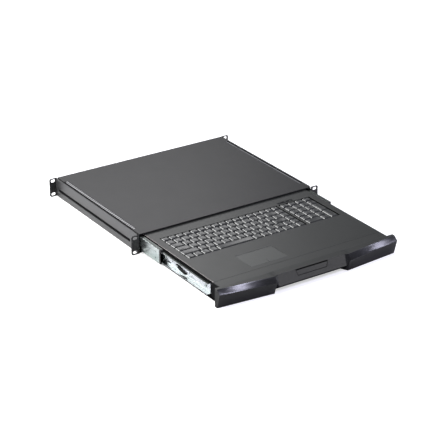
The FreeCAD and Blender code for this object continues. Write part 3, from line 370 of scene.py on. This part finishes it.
CAP_GRAIN = 2600.0
SIDE_SLOPE = 0.0019
FRONT_SLOPE = 0.0020
REAR_SLOPE = 0.0012
SHOULDER_RADIUS = 0.0023
DISH_RIM = 0.0009
DISH_DEPTH = 0.00015
LEGEND_FROM_LEFT = 0.0056
LEGEND_FROM_REAR = 0.0078
LEGEND_THICKNESS = 0.00002
SINGLE_SIZE = 0.0050
WORD_SIZE = 0.0027
LEGENDS = {
    "function_row_keys": "Esc F1 F2 F3 F4 F5 F6 F7 F8 F9 F10 F11 F12 Prt Scr Brk Num",
    "number_row_keys": "` 1 2 3 4 5 6 7 8 9 0 - = Bksp Home",
    "upper_row_keys": "Tab Q W E R T Y U I O P [ ] \\ PgUp",
    "home_row_keys": "Caps A S D F G H J K L ; ' Enter PgDn",
    "lower_row_keys": "Shift Z X C V B N M , . / Shift Up End",
    "bottom_row_keys": "Ctrl Fn Meta Alt Alt Meta Menu Ctrl Left Down Right",
    "space_bar": "",
    "number_pad_keys": "Ins Del Calc Off Num / * - 7 8 9 + 4 5 6 1 2 3 Ent 0 .",
}

# The frame takes the near-black: painted shade in the gaps between the keys.
dress("keyboard_frame", black_and_gap_shade, 0)
switch_rubber = surface("switch_rubber", (0.03, 0.03, 0.03), (0.04, 0.04, 0.04), (0.6, 0.7))
dress("membrane_sheet", switch_rubber, 0)
key_plastic = surface("key_plastic", (0.013, 0.014, 0.014), (0.017, 0.018, 0.018), (0.26, 0.32),
                      specular=0.6, pore=CAP_GRAIN, depth=1e-5)
legend_ink = surface("legend_ink", (0.20, 0.21, 0.21), (0.24, 0.25, 0.25), (0.5, 0.6), specular=0.3)


def cap_corners(node):
    """(lowest, highest corner) of each separate cap of a row, from the rear row and the left."""
    solid = bmesh.new()
    solid.from_mesh(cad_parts[node].data)
    bmesh.ops.remove_doubles(solid, verts=solid.verts, dist=1e-6)
    left_over = set(solid.verts)
    found = []
    while left_over:
        group = [left_over.pop()]
        for vert in group:
            for edge in vert.link_edges:
                other = edge.other_vert(vert)
                if other in left_over:
                    left_over.remove(other)
                    group.append(other)
        places = [vert.co for vert in group]
        low = Vector([min(place[axis] for place in places) for axis in range(3)])
        high = Vector([max(place[axis] for place in places) for axis in range(3)])
        found.append((low, high))
    solid.free()
    return sorted(found, key=lambda pair: (-round(pair[1].y, 3), pair[0].x))


def add_keycap(caps, low, high):
    """One cap between two corners: sloping sides, rounded shoulders, a dished top."""
    middle = (low + high) / 2
    made = bmesh.ops.create_cube(caps, size=1.0)["verts"]
    bmesh.ops.scale(caps, vec=high - low, verts=made)
    bmesh.ops.translate(caps, vec=middle, verts=made)
    for vert in made:
        if vert.co.z > middle.z:
            vert.co.x += SIDE_SLOPE if vert.co.x < middle.x else -SIDE_SLOPE
            vert.co.y += FRONT_SLOPE if vert.co.y < middle.y else -REAR_SLOPE
    edges = dict.fromkeys(edge for vert in made for edge in vert.link_edges)
    upper = [edge for edge in edges if min(vert.co.z for vert in edge.verts) > middle.z]
    sides = [edge for edge in upper if abs(edge.verts[0].co.x - edge.verts[1].co.x) < 1e-5]
    bmesh.ops.bevel(caps, geom=sides, offset=SHOULDER_RADIUS, offset_type="OFFSET", affect="EDGES",
                    segments=3, profile=0.5, material=-1)
    top = [face for face in caps.faces if face.normal.z > 0.999
           and (face.calc_center_median() - middle).xy.length < 0.0015]
    bmesh.ops.inset_individual(caps, faces=top, thickness=DISH_RIM, depth=-DISH_DEPTH)


def add_legend(sheet, word, low, high):
    """Lays one printed legend on the upper left of a cap's dished top."""
    text = bpy.data.curves.new("legend", "FONT")
    text.body = word
    text.size = SINGLE_SIZE if len(word) == 1 else WORD_SIZE
    text.extrude = LEGEND_THICKNESS
    text.resolution_u = 2
    holder = bpy.data.objects.new("legend", text)
    scene.collection.objects.link(holder)
    shape = holder.to_mesh()
    dish = high.z - DISH_DEPTH + LEGEND_THICKNESS
    shape.transform(Matrix.Translation((low.x + LEGEND_FROM_LEFT, high.y - LEGEND_FROM_REAR, dish)))
    sheet.from_mesh(shape)
    holder.to_mesh_clear()
    bpy.data.objects.remove(holder)
    bpy.data.curves.remove(text)


def new_piece(name, shape, material, body):
    """Turns a finished bmesh into a piece that rides on a body."""
    mesh = bpy.data.meshes.new(name)
    shape.to_mesh(mesh)
    shape.free()
    mesh.materials.append(material)
    mesh.shade_smooth()
    mesh.set_sharp_from_angle(angle=math.radians(30))
    piece = bpy.data.objects.new(name, mesh)
    scene.collection.objects.link(piece)
    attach(piece, body)
    return piece


for row, legends in LEGENDS.items():
    words = legends.split()
    places = cap_corners(row)
    caps = bmesh.new()
    for low, high in places:
        add_keycap(caps, low, high)
    caps_piece = new_piece(row + "_caps", caps, key_plastic, row)
    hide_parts(row)
    if words:
        sheet = bmesh.new()
        for word, (low, high) in zip(words, places):
            add_legend(sheet, word, low, high)
        new_piece(row + "_legends", sheet, legend_ink, row)


# ---- Touchpad and indicator window, both let into the deck.
# The touch surface is a fine matt film on its carrier with two press bars in front, and the
# window is a gloss strip with seats for three small light pipes.

MOULDED_EDGE = 0.0002
FINE_EDGE = 0.00015

touch_film = surface("touch_film", (0.026, 0.028, 0.026), (0.030, 0.032, 0.030), (0.38, 0.42),
                     pore=3000.0, depth=8e-6)
for node in ("touchpad", "touchpad_button_left", "touchpad_button_right"):
    dress(node, touch_film, MOULDED_EDGE)
window_gloss = surface("window_gloss", (0.005, 0.005, 0.006), (0.007, 0.007, 0.008), (0.30, 0.36),
                       specular=0.06, pore=300.0, depth=2e-6)
dress("indicator_window", window_gloss, MOULDED_EDGE)
light_pipe = surface("light_pipe", (0.10, 0.12, 0.11), (0.13, 0.15, 0.14), (0.15, 0.22),
                     pore=300.0, depth=2e-6)
dress("indicator_lenses", light_pipe, FINE_EDGE)


# ---- Front bezel: one black moulding screwed to the tray's front wall, with two proud wings.
# Pearl semi-gloss on the wings and the sloping middle, matt on its ends, near-black painted shade on
# the faces that look down, and on its flat top the deck's lighter coat as painted light on the one
# moulding. The latch paddle lies in the middle.

BEZEL_EDGE = 0.0016
PADDLE_EDGE = 0.0003

bezel_pearl = surface("bezel_pearl", (0.005, 0.005, 0.006), (0.007, 0.007, 0.009), (0.23, 0.27),
                      specular=0.42, pore=1500.0, depth=3e-6)
bezel_matt = surface("bezel_matt", (0.005, 0.005, 0.005), (0.007, 0.007, 0.007), (0.32, 0.38), specular=0.22)
dress("front_bezel", bezel_pearl, BEZEL_EDGE, 4)
touch_up("front_bezel", bezel_matt, lambda face: face.normal.z < 0.0 or abs(face.normal.x) > 0.9)
# Faces looking down take the near-black: painted shade under the bezel.
touch_up("front_bezel", painted_shade_black, lambda face: face.normal.z < -0.35)
# The flat top takes the deck's lighter coat: painted light on the faces that look up.
touch_up("front_bezel", drawer_coat, lambda face: face.normal.z > 0.97)
dress("latch_paddle", bezel_pearl, PADDLE_EDGE)
dress("bezel_screws", black_zinc, 0)


# ---- Boards and connectors: green glass-fibre boards at the rear and under the keyboard.
# The chips are black moulded blocks soldered on. The rear sockets are nickel-plated shells
# round blue plastic blocks, fixed through the rear panel.

CHIP_EDGE = 0.0001

board_green = surface("board_green", (0.01, 0.07, 0.03), (0.014, 0.09, 0.04), (0.3, 0.4))
chip_black = surface("chip_black", (0.02, 0.02, 0.02), (0.03, 0.03, 0.03), (0.45, 0.55))
for node in ("switch_board", "keyboard_board"):
    dress(node, board_green, 0)
    dress(node + "_parts", chip_black, CHIP_EDGE)
nickel = plated("nickel_plate", (0.66, 0.65, 0.62), (0.72, 0.71, 0.68), (0.2, 0.3))
for node in ("port_shields", "jack_screws", "usb_socket"):
    dress(node, nickel, FINE_EDGE)
port_blue = surface("port_blue", (0.012, 0.04, 0.22), (0.016, 0.05, 0.26), (0.36, 0.44))
dress("port_inserts", port_blue, 0)
for node in ("power_jack", "reset_button"):
    dress(node, black_moulding, MOULDED_EDGE)
